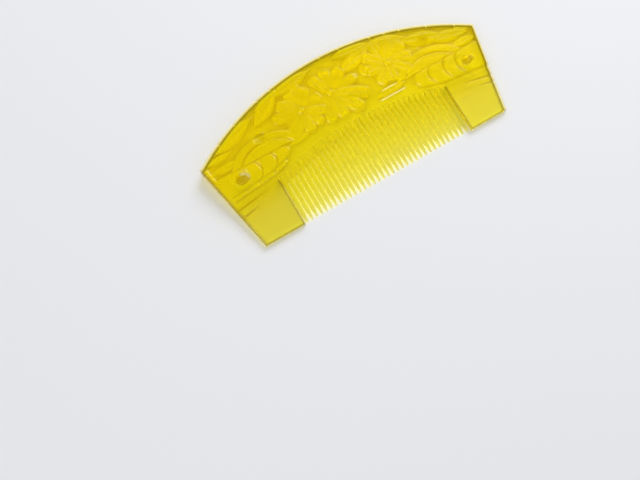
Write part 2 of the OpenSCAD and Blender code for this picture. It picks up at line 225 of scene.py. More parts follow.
# height in the middle as a share of that at the lips, and at a petal's foot of that at its end
PETAL_DISH, LEAF_DISH, PETAL_FOOT = 0.8, 0.8, 0.62
# a petal's fold: shares of its height, of its half width and of its length
FOLD_DEPTH, FOLD_W, FOLD_END = 0.10, 0.10, 0.9
BUTTON_H = 0.95
# a leaf's veins: share of its height, number, and how far they lean, in spacings
VEIN_DEPTH, VEIN_COUNT, VEIN_SLANT = 0.06, 8, 1.6
# outside a motif its formula gets this place instead, and the result is not used
UNUSED_PLACE = 0.5


def along_and_across(x, y, start, turn, length, width):
    """Turns (x, y) to run along a motif: u goes 0 to 1 down its length, v across it."""
    a = math.radians(turn)
    dx, dy = x - start[0], y - start[1]
    u = (dx * math.cos(a) + dy * math.sin(a)) / length
    v = (dy * math.cos(a) - dx * math.sin(a)) / width
    return u, v


def petal(x, y, row):
    """A cupped petal, the root of u (1 - u³) wide: low foot, raised lips, a fold in its middle."""
    bloom, turn, length, width, level = row
    middle = BLOSSOMS[bloom]
    u, v = along_and_across(x, y, middle, turn, length * PETAL_L, width * PETAL_W)
    inside = (u > 0) & (u < 1)
    uc = np.where(inside, u, UNUSED_PLACE)
    q = abs(v) / (np.sqrt(uc * (1 - uc**3)) / PETAL_PEAK)
    inside &= q < 1
    cup = mix(PETAL_DISH, 1, q * q) * mix(PETAL_FOOT, 1, uc)
    fold = 1 - FOLD_DEPTH * np.exp(-((v / FOLD_W) ** 2)) * smooth(4 * (FOLD_END - uc))
    edges = (1 - clamp01(q) ** 5) * smooth((1 - uc) * 6)
    return np.where(inside, level * cup * fold * edges, 0)


def bed_and_button(x, y, bloom):
    """The raised bed under the petals, sloping in its outer third, and the round heart on it."""
    far = np.hypot(x - bloom[0], y - bloom[1])
    button = BUTTON_H * np.sqrt(1 - clamp01(far / BUTTON_R) ** 3)
    return np.maximum(button, BED_LEVEL * smooth(3 - 3 * far / (bloom[2] * PETAL_L)))


def leaf(x, y, row):
    """A pointed leaf, a sine wide and arched across, with a midrib groove and faint veins."""
    sx, sy, turn, length, width, level = row
    start = (sx * HALF_W, sy * COMB_H)
    u, v = along_and_across(x, y, start, turn, length * LEAF_L, width * LEAF_W)
    inside = (u > 0) & (u < 1)
    half = np.sin(math.pi * np.where(inside, u, UNUSED_PLACE))
    q = abs(v) / np.maximum(half, 1e-6)
    inside &= q < 1
    wave = 0.5 + 0.5 * np.cos(2 * math.pi * (VEIN_COUNT * u - VEIN_SLANT * abs(v)))
    veins = 1 - VEIN_DEPTH * wave * smooth(5 * abs(v))
    arch = (1 - clamp01(q) ** 4) * mix(LEAF_DISH, 1, smooth(3 * abs(v)))
    return np.where(inside, level * arch * veins, 0)


print("a full petal is", PETAL_L, "mm long and", 2 * PETAL_W, "mm wide")

# %% [markdown]
# ## The water
#
# At both ends the ground turns into a stream. It is drawn the traditional way: long tongues
# with round noses nested in each other, a wave crest curling over them, and the deep scooped
# eye of an eddy. The tongues follow a nose line, X less a quarter ellipse of the height in
# the band, and a groove is cut wherever that line meets one of four places.

# %% Height of the water
BAND_TOP = 0.822 * SHOULDER_H
# where the tongues end, from the middle of the comb, and how long their round noses are
TONGUE_TIPS = np.array([0.455, 0.555, 0.665, 0.755]) * HALF_W
NOSE_L = 0.05 * HALF_W
# the left band starts this much higher
BAND_LIFT = 1.5
# heights as shares of the relief, and floors of the grooves as shares of those
BAND_LEVEL, CREST_LEVEL = 0.58, 0.6
GROOVE_W, BAND_FLOOR, TOP_FLOOR, CREST_FLOOR = 0.8, 0.35, 0.45, 0.4
# two eyes, then two pockets in the ground: centre across and up, size and depth
EYES = [
    [-0.80, 0.712, 1.00, 1.00], [0.83, 0.680, 0.85, 0.75],
    [-0.58, 1.010, 0.95, 0.30], [0.64, 1.085, 0.95, 0.26],
]
EYE_R, EYE_DEPTH, EYE_FLAT = 2.9, 2.4, 0.72
# middle and radii of the crest's oval, and where its inner line runs
CREST = (0.59 * HALF_W, 0.70 * SHOULDER_H, 0.27 * HALF_W, 0.337 * SHOULDER_H)
CREST_LINE = 0.74


def groove(d, floor):
    """A carved line: its floor's height on the line, and 1 from the groove's width outwards."""
    return mix(floor, 1, smooth(abs(d) / GROOVE_W))


def water_band(x, y):
    """Nested tongues: the height between two lines, with a groove at each nose line."""
    low = root_h(x) + ROOT_BAND + np.where(x < 0, BAND_LIFT, 0)
    t = clamp01(abs(2 * (y - low) / (BAND_TOP - low) - 1))
    nose = abs(x) - NOSE_L * (1 - np.sqrt(1 - t * t))
    near = abs(nose[..., None] - TONGUE_TIPS).min(-1)
    lines = groove(near, BAND_FLOOR) * groove(y - low, BAND_FLOOR)
    shape = BAND_LEVEL * lines * groove(BAND_TOP - y, TOP_FLOOR)
    return np.where((y > BAND_TOP) | (nose < TONGUE_TIPS[0]), 0, shape)


def wave_crest(x, y):
    """An oval shell over the band, with a raised rib round a lower inside."""
    cx, cy, rx, ry = CREST
    e = np.hypot((abs(x) - cx) / rx, (y - cy) / ry)
    shape = CREST_LEVEL * groove(rx * (1 - e), 0) * groove(rx * (e - CREST_LINE), CREST_FLOOR)
    return np.where((y < BAND_TOP) | (e > 1), 0, shape)


def eddy_eyes(x, y):
    """Depth of the scooped eyes: an S-curve of one less the squared distance."""
    depth = np.zeros_like(x)
    for ex, ey, size, deep in EYES:
        r = size * EYE_R
        q = np.hypot((x - ex * HALF_W) / r, (y - ey * SHOULDER_H) / (r * EYE_FLAT))
        depth = np.maximum(depth, EYE_DEPTH * deep * smooth(1 - q * q))
    return depth


def carving(x, y):
    """The highest of all motifs at each point, as a share of the relief's height."""
    height = np.maximum(water_band(x, y), wave_crest(x, y))
    for row in LEAVES:
        height = np.maximum(height, leaf(x, y, row))
    for bloom in BLOSSOMS:
        height = np.maximum(height, bed_and_button(x, y, bloom))
    for row in PETALS:
        height = np.maximum(height, petal(x, y, row))
    return height


print("tongues end at", TONGUE_TIPS.round(1), "mm")

# %% [markdown]
# ## The front, as one height
#
# The ground thickens from the roots to the spine, steps up from the smooth guard teeth to
# the carved field, and falls away round every edge. Nicks cross the rim where the carver's
# lines run out over it, and a few strokes of water are cut into the guard teeth.

# %% Height of the front
# height of the rim as a share of the relief, and how much of its rounding a guard tooth has
RIM_LEVEL, GUARD_RIM = 0.45, 0.5
# how much of its rounding a foot has
FOOT_FALL = 0.6
# how far to both sides the border of the carving is averaged
BORDER_BLUR = 3.0
# the power by which the ground swells from that border to the spine
GROUND_SWELL = 0.8
# places of the nicks, as shares of the half width
NICKS = np.array([
    -0.832, -0.686, -0.484, -0.381, 0.004, 0.143, 0.358, 0.457, 0.558, 0.726, 0.893,
])
# half width and depth of a nick, and how far in it reaches, in widths of the rim
NICK_HALF, NICK_DEPTH, NICK_REACH = 0.45, 0.4, 1.6
# outer end and inner end of each stroke, in mm
STROKES = [
    [(-50.2, 13.5), (-35.7, 15.4)], [(-49.6, 10.7), (-41.0, 12.1)],
    [(49.9, 12.4), (36.8, 15.1)], [(49.3, 10.1), (42.0, 11.6)],
]
STROKE_HALF, STROKE_DEPTH = 0.5, 0.45


def stroke_depth(x, y):
    """V-cuts that run out at the comb's ends: deepest there, nothing at the inner end."""
    depth = np.zeros_like(x)
    for (x0, y0), (x1, y1) in STROKES:
        run = math.hypot(x1 - x0, y1 - y0)
        along = ((x - x0) * (x1 - x0) + (y - y0) * (y1 - y0)) / run**2
        off = ((y - y0) * (x1 - x0) - (x - x0) * (y1 - y0)) / run
        cut = clamp01(1 - along) * clamp01(1 - abs(off) / STROKE_HALF)
        depth = np.maximum(depth, STROKE_DEPTH * cut)
    return depth


def nick_depth(x, y, edge):
    """Small V-cuts across the rim, from the shoulders up, measured along the spine's circle."""
    turn = np.arctan2(x, y - (COMB_H - SPINE_R)) * SPINE_R
    centre = np.arcsin(NICKS * HALF_W / SPINE_R) * SPINE_R
    near = abs(turn[..., None] - centre).min(-1)
    fade = smooth(NICK_REACH - edge / RIM_W) * smooth(y - SHOULDER_H)
    return NICK_DEPTH * clamp01(1 - near / NICK_HALF) * fade


def ground_height(x, y):
    """The ground: from the spine to the border of the carving, then down to the tips."""
    near = np.linspace(-BORDER_BLUR, BORDER_BLUR, 7)
    border = np.mean([root_h(x + d) for d in near], 0) + ROOT_BAND
    up = clamp01((y - border) / (spine_h(x) - border))
    over = mix(ROOT_T, SPINE_T, up**GROUND_SWELL)
    return np.where(y > border, over, mix(GUARD_TIP_T, ROOT_T, y / border))


def front_height(x, y):
    """Thickness of the comb at (x, y): the ground, the carving on it and the edges."""
    low = root_h(x) + ROOT_BAND
    edge = edge_distance(x, y)
    ground = ground_height(x, y)
    carved = mix(RIM_LEVEL, carving(x, y), smooth(edge / RIM_W - 1))
    step = smooth((y - low) / BORDER_RUN)
    height = ground + RELIEF_H * carved * step - eddy_eyes(x, y)
    height = height - stroke_depth(x, y) * (1 - step) - nick_depth(x, y, edge)
    height -= mix(GUARD_RIM, 1, smooth((y - low) / RIM_W)) * rounding(edge, RIM_R)
    height -= FOOT_FALL * rounding(np.maximum(0, y), FOOT_R)
    return height - rounding(slot_distance(x, y), GAP_R)


middle_x, middle_y = np.zeros(1), np.full(1, ROOT_MID_H + ROOT_BAND)
print("ground at the border, mm:", ground_height(middle_x, middle_y).round(2))

# %% [markdown]
# ## How the carving looks through the plastic
#
# In clear plastic the eye reads carving by tone more than by shadow. A groove and the sunk ground
# look a deeper gold, as their light was bent aside and came a longer way round, and a crest looks
# paler. Here that is painted into the colour: painted shade deepens the grooves and the sunk
# ground, and painted light makes the crests paler. Just inside the outline runs a narrow olive
# line of painted shade, for the rounded edge that sends light off to the sides. Outside that line,
# along the spine and the right end, a pale lip of painted light stands for light that leaves the
# plastic again. Two pale lines of painted highlight in the smooth band, with no cut under them,
# and painted highlights on the far sides of the two eyes work in the same way. A little painted
# glow makes the thin guard teeth paler than the body, and the teeth and their strokes also get
# some painted shade.
#
# But for the two highlight lines, which are listed, all of this follows from the height and from
# the distance to the outline. A texture painted in an image would give it too, but what is worked
# out moves with the carving.

# %% Painted shade and light from the height
# radius of each circle that a hollow is measured on, and its share
CIRCLES = [(0.6, 0.6), (1.7, 0.4)]
# the strongest painted shade and light, and the depth of a hollow that has three quarters of it
TONE_MAX, TONE_DEPTH = 0.9, 0.22
# how far in from the outline the painted shade and light start, and over what run they come up
TONE_START, TONE_RUN = 1.0, 1.4
# painted shade on the guard teeth, and more of it in the strokes that are cut into them
TEETH_PAINTED_SHADE, STROKE_PAINTED_SHADE = 0.35, 1.2


def hollow(x, y, radius):
    """Mean height of eight points on a circle of this radius, less that of its middle."""
    turns = np.radians(np.arange(0, 360, 45))
    around = [front_height(x + radius * math.cos(a), y + radius * math.sin(a)) for a in turns]
    return np.mean(around, 0) - front_height(x, y)


def painted_tone_of(x, y):
    """Painted shade below 0 in a groove, painted light above 0 on a crest: the tanh of how far it
    stands out, with painted shade on the guard teeth and their strokes.
    """
    sunk = sum(share * hollow(x, y, radius) for radius, share in CIRCLES)
    inside = smooth((edge_distance(x, y) - TONE_START) / TONE_RUN)
    strokes = STROKE_PAINTED_SHADE * stroke_depth(x, y) / STROKE_DEPTH
    on_guard = y < root_h(x)
    return TONE_MAX * np.tanh(-sunk / TONE_DEPTH) * inside - (TEETH_PAINTED_SHADE + strokes) * on_guard


print("tone of the smooth border:", painted_tone_of(middle_x, middle_y).round(2))

# %% Painted edge shade and glow from the distance to the outline
# a distance that is past every lip and line
FAR = 9
# width of the pale lip of painted light, how much narrower it is at the right end, and its soft
# edge
LIP_W, LIP_LESS, LIP_FADE = 1.2, 0.15, 0.4
# the dark line of painted shade: how far its middle is inside the lip, and its half width
LINE_IN, LINE_HALF = 0.3, 0.4
# its width at the left end and round the guard teeth, and after how many widths it has ended
LEFT_LINE, GUARD_LINE, LINE_REACH = 0.9, 0.5, 1.3
# a nick of this depth breaks the line
NICK_CLEAR = 0.2
# painted glow on the guard teeth, and over what height it comes up
GUARD_PAINTED_GLOW, GUARD_FADE = 0.14, 8.0
# two lines of painted highlight in the smooth band, with no cut under them: from x to x, at y
PAINTED_HIGHLIGHT_LINES = [(9.9, 20.9, 23.1), (12.0, 19.0, 25.8)]
# how far a highlight line fades in at its ends, and its half width
HIGHLIGHT_LINE_FADE, HIGHLIGHT_LINE_HALF = 1.5, 0.22
# painted highlight on the left and the right eye, and radius and half width of its ring, in eye
# radii
EYE_HIGHLIGHTS, EYE_RING, EYE_RING_HALF = (1.0, 0.15), 0.8, 0.14
# the side of an eye that is towards the window, where its highlight is painted, as a direction
# across and up the comb
FAR_SIDE = (0.8, 0.6)


def bell(distance, half):
    """A bell curve: 1 at 0, and about a third at the half width."""
    return np.exp(-((distance / half) ** 2))


def lip_distance(x, y):
    """Distance in from the spine or, with the lip's lesser width added, from the right end."""
    right = np.where(x > 0, end_distance(x, y) + LIP_LESS, FAR)
    return np.minimum(spine_distance(x, y), right)


def rim_of(x, y):
    """1 on a line of painted shade along the outline, just inside the painted light of the lip, 0
    elsewhere.
    """
    foot = np.maximum(y, 0) / GUARD_LINE
    side = np.where(y < root_h(x), np.maximum(abs(x) - HALF_MOUTH, 0), FAR) / GUARD_LINE
    left = np.where(x < 0, end_distance(x, y), FAR) / LEFT_LINE
    other = smooth(LINE_REACH - np.min([foot, side, left], 0))
    line = bell(lip_distance(x, y) - LIP_W - LINE_IN, LINE_HALF)
    nick = smooth(nick_depth(x, y, edge_distance(x, y)) / NICK_CLEAR)
    return np.maximum(line, other) * (1 - nick)


def painted_glow_of(x, y):
    """Painted light, pale where light comes straight out: the lip, the guard teeth, two highlight
    lines, the eyes.
    """
    painted_glow = smooth((LIP_W - lip_distance(x, y)) / LIP_FADE)
    painted_glow = np.maximum(painted_glow, GUARD_PAINTED_GLOW * smooth((root_h(x) - y) / GUARD_FADE))
    for x0, x1, y0 in PAINTED_HIGHLIGHT_LINES:
        along = smooth((x - x0) / HIGHLIGHT_LINE_FADE) * smooth((x1 - x) / HIGHLIGHT_LINE_FADE)
        painted_glow = np.maximum(painted_glow, along * bell(y - y0, HIGHLIGHT_LINE_HALF))
    for (ex, ey, size, _), share in zip(EYES, EYE_HIGHLIGHTS):
        dx = (x - ex * HALF_W) / (size * EYE_R)
        dy = (y - ey * SHOULDER_H) / (size * EYE_R * EYE_FLAT)
        q = np.hypot(dx, dy)
        facing = (FAR_SIDE[0] * dx + FAR_SIDE[1] * dy) / np.maximum(q, 1e-6)
        crescent = bell(q - EYE_RING, EYE_RING_HALF) * smooth(2.5 * facing - 1)
        painted_glow = np.maximum(painted_glow, share * crescent)
    return painted_glow


print("pale lip", LIP_W, "mm wide, middle of the dark line", LIP_W + LINE_IN, "mm in")

# %% [markdown]
# ## One grid for the body
#
# The body is a grid that is bent to the outline: columns fan out from the roots to the
# spine, and rows bunch up where an edge is rounded or a step is steep. At the roots the
# columns stand where each gap and tooth needs them, and a little higher they are evenly
# spaced, so that the carving has cells of about 0.23 mm everywhere.

# %% Columns of the body
# places across a rounded edge, as shares of its radius, and across a tooth, of its half width
QUARTER = 1 - np.cos(np.radians([0, 15, 30, 45, 60, 75, 90]))
TOOTH_SHARES = np.array([-1, -0.88, -0.6, 0, 0.6, 0.88, 1])
GUARD_CELLS = 84

side = np.concatenate([
    HALF_ROOT - RIM_R * QUARTER,
    np.linspace(HALF_ROOT - RIM_R, HALF_MOUTH + GAP_R, GUARD_CELLS + 1)[1:],
    [HALF_MOUTH + GAP_R / 4, HALF_MOUTH],
])
gap_centres = -HALF_MOUTH + GAP_W / 2 + PITCH * np.arange(TOOTH_COUNT + 1)
tooth_centres = gap_centres[:-1] + PITCH / 2
tooth_columns = tooth_centres[:, None] + TOOTH_SHARES * TOOTH_W / 2
mouth = np.column_stack([gap_centres[:-1], tooth_columns]).ravel()
root_x = np.concatenate([-side, mouth, gap_centres[-1:], side[::-1]])

N_SIDE, N_COLUMNS = len(side), len(root_x)
# the columns from the edge of one guard tooth to the edge of the other, evenly spaced
even_x = root_x.copy()
even_x[N_SIDE - 3:-N_SIDE + 3] = np.linspace(-side[-3], side[-3], N_COLUMNS - 2 * N_SIDE + 6)
print(N_COLUMNS, "columns,", N_SIDE, "of them over each guard tooth")

# %% Rows of the body
# heights over the roots: close at the gaps' rounded ends and at the step to the carving
FOOT_ROWS = np.array([0, 0.05, 0.2, 0.5, 0.85, 1.1, 1.2, 1.3, 1.4, 1.5, 1.6, 1.75])
MIDDLE_ROWS = 92
# how high over the roots the columns start to even out, and over what run they do
FAN_START, FAN_RUN = 0.2, 2.5

low_y = root_h(root_x)
high_y = spine_h(even_x * HALF_W / HALF_ROOT)
first = low_y + FOOT_ROWS[-1]
last = high_y - RIM_R
body_y = np.concatenate([
    low_y + FOOT_ROWS[:, None],
    mix(first, last, np.linspace(0, 1, MIDDLE_ROWS + 1)[1:, None]),
    high_y - RIM_R * QUARTER[::-1][1:, None],
]).T
share = (body_y - low_y[:, None]) / (high_y - low_y)[:, None]
fan = smooth((body_y - low_y[:, None] - FAN_START) / FAN_RUN)
body_x = mix(root_x[:, None], even_x[:, None], fan) * mix(1, HALF_W / HALF_ROOT, share)
print("body grid:", body_x.shape)

# %% [markdown]
# ## Guard teeth and fine teeth
#
# Each guard tooth carries the body's outer columns on down to its foot. A fine tooth carries
# on the seven columns that stand on it: it keeps its width for most of its length, thins
# steadily, and ends in a slim rounded point.

# %% Rows of the guard teeth and of the fine teeth
# shares of a guard tooth's height: close rows round its foot, then even ones
GUARD_ROWS = 56
guard_rows = np.concatenate([
    FOOT_R / ROOT_SIDE_H * QUARTER, np.linspace(0.05, 1, GUARD_ROWS + 1)[:-1],
])


def guard_grid(columns):
    """Points of a guard tooth: straight lines from its foot up to the body's columns."""
    foot = mix(HALF_MOUTH, HALF_FOOT, (abs(columns) - HALF_MOUTH) / (HALF_ROOT - HALF_MOUTH))
    x = mix(np.sign(columns)[:, None] * foot[:, None], columns[:, None], guard_rows)
    y = root_h(columns)[:, None] * guard_rows
    return np.stack([x, y, front_height(x, y)], -1)


# heights as shares of a fine tooth, from its tip
tooth_rows = np.array([
    0, 0.006, 0.02, 0.05, 0.1, 0.18, 0.25, 0.32, 0.4, 0.48,
    0.56, 0.64, 0.72, 0.8, 0.87, 0.93, 0.97,
])
# at a few of them its half width, and how far it has grown from the tip's thickness to the root's
HALF_AT = ([0, 0.006, 0.02, 0.05, 0.18], np.array([0.06, 0.12, 0.17, 0.24, 0.50]) * TOOTH_W)
GROWTH_AT = ([0, 0.18, 0.5, 1], [0, 0.28, 0.62, 1])
# the rounding of a tooth's edges takes at most this share of its half width
TOOTH_ROUND = 0.6


def tooth_grid():
    """Points of all fine teeth at once: width and thickness are read off two profiles."""
    half = np.interp(tooth_rows, *HALF_AT)
    x = tooth_centres[:, None, None] + TOOTH_SHARES[None, :, None] * half
    top = root_h(tooth_columns)[..., None]
    y = TIP_RECESS + (top - TIP_RECESS) * tooth_rows
    root_t = mix(GUARD_TIP_T, ROOT_T, top / (top + ROOT_BAND))
    thick = mix(TOOTH_TIP_T, root_t, np.interp(tooth_rows, *GROWTH_AT))
    from_side = half * (1 - abs(TOOTH_SHARES[:, None]))
    z = thick - rounding(from_side, np.minimum(GAP_R, TOOTH_ROUND * half))
    return np.stack(np.broadcast_arrays(x, y, z), -1)


body = np.stack([body_x, body_y, front_height(body_x, body_y)], -1)
left_guard, right_guard = guard_grid(root_x[:N_SIDE]), guard_grid(root_x[-N_SIDE:])
teeth = tooth_grid()
print("thickest point:", round(float(body[..., 2].max()), 2), "mm")

# %% [markdown]
# ## From the grids to one closed body
#
# The grids share the row of points along the roots, so they make one sheet. Its border is a
# single ring that goes round one guard tooth, in and out of all the gaps, round the other guard
# tooth, and back over the spine. A wall drops from the ring and turns under in a small quarter
# circle, and the flat back is filled with triangles between the wall's last points. A single
# face with thousands of corners can come out torn, and light would leak through the tear.

# %% Number the points and join them
grids = [body, left_guard, right_guard, teeth]
starts = np.cumsum([0] + [g[..., 0].size for g in grids])
at_body, at_left, at_right, at_teeth = [
    start + np.arange(g[..., 0].size).reshape(g.shape[:-1]) for g, start in zip(grids, starts)
]
front = np.concatenate([g.reshape(-1, 3) for g in grids])


def sheet_quads(index):
    """Quads of a grid whose first way goes along X and second along Y, facing up."""
    corners = [index[:-1, :-1], index[1:, :-1], index[1:, 1:], index[:-1, 1:]]
    return np.stack(corners, -1).reshape(-1, 4)


# the first of the columns that stand on each fine tooth
first_tooth = N_SIDE + 1 + (len(TOOTH_SHARES) + 1) * np.arange(TOOTH_COUNT)
tooth_feet = at_body[first_tooth[:, None] + np.arange(len(TOOTH_SHARES)), 0]
whole_teeth = np.concatenate([at_teeth, tooth_feet[..., None]], -1)
sheets = [
    sheet_quads(at_body),
    sheet_quads(np.column_stack([at_left, at_body[:N_SIDE, 0]])),
    sheet_quads(np.column_stack([at_right, at_body[-N_SIDE:, 0]])),
] + [sheet_quads(tooth) for tooth in whole_teeth]

# along the left foot and up its inner side, down and up each fine tooth, round the right guard
# tooth, up the right end, back along the spine and down the left end
ring = np.concatenate([
    at_left[:, 0], at_left[-1, 1:], at_body[N_SIDE - 1:N_SIDE, 0],
    np.column_stack([
        at_body[first_tooth - 1, 0], whole_teeth[:, 0, ::-1],
        at_teeth[:, 1:, 0], whole_teeth[:, -1, 1:],
    ]).ravel(),
    at_body[-N_SIDE - 1:-N_SIDE + 1, 0], at_right[0, ::-1], at_right[1:, 0], at_right[-1, 1:],
    at_body[-1], at_body[-2::-1, -1], at_body[0, -2::-1], at_left[0, :0:-1],
])
print(len(front), "points in the front,", len(ring), "round the ring")

# %% Where the wall turns in
# bevel round the back and along a tooth, and its least at a corner and at a tooth's tip
BACK_BEVEL, TOOTH_BEVEL, CORNER_BEVEL, TIP_BEVEL = 0.4, 0.12, 0.015, 0.005
# how far over its tip a tooth's bevel is full, and what share of the way to a corner one takes
TIP_RUN, CORNER_SHARE = 1.5, 0.8
# how much lower a gap ends at the back
SAW_RAMP = 2.7
# a point this near to the mouth's outline counts as on it
NEAR = 0.01
# corners of the outline's right half, across and up
CORNERS = [(HALF_FOOT, 0), (HALF_MOUTH, 0), (HALF_W, SHOULDER_H)]


def inward(points):
    """Unit inward offset at each ring point: it meets the offsets of both its edges."""
    step = np.roll(points, -1, 0) - points
    out = np.column_stack([step[:, 1], -step[:, 0]]) / np.hypot(*step.T)[:, None]
    before = np.roll(out, 1, 0)
    return -(out + before) / (1 + (out * before).sum(1))[:, None]


ring_xy, ring_z = front[ring, :2], front[ring, 2]
ring_x, ring_y = ring_xy.T
over_root = ring_y - root_h(ring_x)
in_mouth = (abs(ring_x) < HALF_MOUTH - NEAR) & (over_root < NEAR)
tooth_bevel = np.interp(ring_y, [TIP_RECESS, TIP_RECESS + TIP_RUN], [TIP_BEVEL, TOOTH_BEVEL])
to_corner = np.min([np.hypot(abs(ring_x) - x, ring_y - y) for x, y in CORNERS], 0)
plate_bevel = np.clip(CORNER_SHARE * to_corner, CORNER_BEVEL, BACK_BEVEL)
bevel = np.where(in_mouth, tooth_bevel, plate_bevel)
turn_in = inward(ring_xy)
# a round saw blade leaves a ramp at the root of its gap
ramp = SAW_RAMP * smooth(1 + over_root / (2 * SAW_RAMP)) * in_mouth
print(int(in_mouth.sum()), "points of the ring are in the mouth")

# %% The wall and the back
# the first level lies right under the edge, so that what the front's edge has ends there
EDGE_STRIP = 0.05
levels = [np.column_stack([ring_xy, ring_z - EDGE_STRIP])]
for angle in (0, 30, 60, 90):
    a = math.radians(angle)
    xy = ring_xy + turn_in * (bevel * (1 - math.cos(a)))[:, None] - ramp[:, None] * [0, 1]
    levels.append(np.column_stack([xy, bevel * (1 - math.sin(a))]))

at_levels = [ring] + [
    len(front) + k * len(ring) + np.arange(len(ring)) for k in range(len(levels))
]
walls = [
    np.column_stack([a, b, np.roll(b, -1), np.roll(a, -1)])
    for a, b in zip(at_levels[:-1], at_levels[1:])
]
points = np.concatenate([front] + levels)
quads = np.concatenate(sheets + walls)

INSIDE_ONLY, JOIN_WITHIN = 1, 1e-7
loop = list(range(len(ring)))
filled = delaunay_2d_cdt(levels[-1][:, :2].tolist(), [], [loop], INSIDE_ONLY, JOIN_WITHIN)
back = at_levels[-1][np.array(filled[2])][:, ::-1]
print(len(quads), "quads and", len(back), "triangles in the back")


# %% Put it into a mesh
def closed_mesh(name, points_mm, quads, triangles):
    """A mesh in metres from quads and triangles, set as whole arrays."""
    mesh = bpy.data.meshes.new(name)
    place = (points_mm - [0, COMB_H / 2, 0]) * MM
    mesh.vertices.add(len(place))
    mesh.vertices.foreach_set("co", place.astype(np.float32).ravel())
    mesh.loops.add(quads.size + triangles.size)
    corners = np.concatenate([quads.ravel(), triangles.ravel()]).astype(np.int32)
    mesh.loops.foreach_set("vertex_index", corners)
    mesh.polygons.add(len(quads) + len(triangles))
    quad_starts, triangle_starts = 4 * np.arange(len(quads)), 3 * np.arange(len(triangles))
    first_corners = np.concatenate([quad_starts, quads.size + triangle_starts])
    mesh.polygons.foreach_set("loop_start", first_corners.astype(np.int32))
    mesh.update(calc_edges=True)
    mesh.validate()
    return mesh


comb_mesh = closed_mesh("comb_carved", points, quads, back)
comb = bpy.data.objects.new("comb_carved", comb_mesh)
bpy.context.scene.collection.objects.link(comb)
print(len(comb_mesh.vertices), "points,", len(comb_mesh.polygons), "faces")

# %% [markdown]
# ## Values kept on the points
#
# An attribute is a number on every point of a mesh, which a material reads by its name. The
# painted tone, the painted edge shade and the painted glow are the three values from above, and
# they hold painted shade and light. The fourth, cloud, says how milky the plastic is. A saw leaves
# a matt wall, so the gaps are cloudy, and so are the fine teeth, most of all towards their tips.
# The plates are polished and clear, but for their pale lip and the field by the spine. A value
# below 0 marks the outer wall, for the comb's shadow.
#
# The flat back has one value for all of its points. Its triangles are large, and a change from
# one end of a triangle to the other would show through the comb as a crease.

# %% Painted tone, edge shade and glow, and cloud
# cloud of a sawn wall, of a fine tooth at its root, of the back and of the outer wall
SAWN, SAWN_ROOT, FLAT_BACK, OUTER_WALL = 0.65, 0.42, 0.15, -1
# cloud by the spine, how far in it reaches, and over what run it fades there
SPINE_CLOUD, SPINE_CLOUD_W, SPINE_CLOUD_RUN = 0.7, 3.4, 2.0
# share of a fine tooth, from its root down, over which its cloud comes up
TOOTH_CLOUD_RUN = 0.625
# painted tone of the walls, which mixes in a bright yellow: on a gap wall it is painted light that
# lifts the shade in the gap, and near the table, where a wall has little plastic under it, it
# keeps the wall yellow
GAP_PAINTED_LIGHT, WALL_TONE = 1.2, 1.6

plates = np.concatenate([g[..., :2].reshape(-1, 2) for g in grids[:3]])
is_plate = slice(0, len(plates))
is_tooth = slice(len(plates), len(front))
wall_levels = len(levels) - 1
is_wall = slice(len(front), len(front) + wall_levels * len(ring))
painted_tone, rim, painted_glow, cloud = np.zeros((4, len(points)))

for values, value_of in ((painted_tone, painted_tone_of), (rim, rim_of), (painted_glow, painted_glow_of)):
    values[is_plate] = value_of(*plates.T)
# the fine teeth get the guard teeth's painted shade
painted_tone[is_tooth] = -TEETH_PAINTED_SHADE
painted_tone[is_wall] = np.tile(np.where(in_mouth, GAP_PAINTED_LIGHT, WALL_TONE), wall_levels)

from_spine = spine_distance(*plates.T)
by_spine = SPINE_CLOUD * smooth((SPINE_CLOUD_W - from_spine) / SPINE_CLOUD_RUN)
up_tooth = (teeth[..., 1] / root_h(teeth[..., 0])).ravel()
# where light is painted, the plastic is milkier as well
cloud[is_plate] = np.maximum(painted_glow[is_plate], by_spine)
cloud[is_tooth] = mix(SAWN_ROOT, SAWN, smooth((1 - up_tooth) / TOOTH_CLOUD_RUN))
cloud[ring[~in_mouth]] = OUTER_WALL
cloud[is_wall] = np.tile(np.where(in_mouth, SAWN, OUTER_WALL), wall_levels)
cloud[is_wall.stop:] = FLAT_BACK
for name, values in (("painted_tone", painted_tone), ("rim", rim), ("painted_glow", painted_glow), ("cloud", cloud)):
    comb_mesh.attributes.new(name, "FLOAT", "POINT").data.foreach_set("value", values)
    print(name, "from", round(float(values.min()), 2), "to", round(float(values.max()), 2))

# %% [markdown]
# ## Soft and sharp edges
#
# The carving is shaded smooth from one cell to the next. The walls keep their crisp edges: an
# edge is sharp where its two faces meet at more than 40 degrees, but never in the carving.

# %% Shading, and its place in the frame
SHARP_FROM = math.radians(40)
comb_mesh.set_sharp_from_angle(angle=SHARP_FROM)
edges = np.empty(2 * len(comb_mesh.edges), np.int32)
comb_mesh.edges.foreach_get("vertices", edges)
sharp = np.empty(len(comb_mesh.edges), bool)
comb_mesh.edges.foreach_get("use_edge_sharp", sharp)
ends = edges.reshape(-1, 2)
on_front = (ends < len(front)).all(1)
on_back = (ends >= is_wall.stop).all(1)
comb_mesh.edges.foreach_set("use_edge_sharp", sharp & ~on_front | on_back)

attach(comb, "root")
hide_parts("comb")
print(sum(len(p.vertices) - 2 for p in comb_mesh.polygons), "triangles")


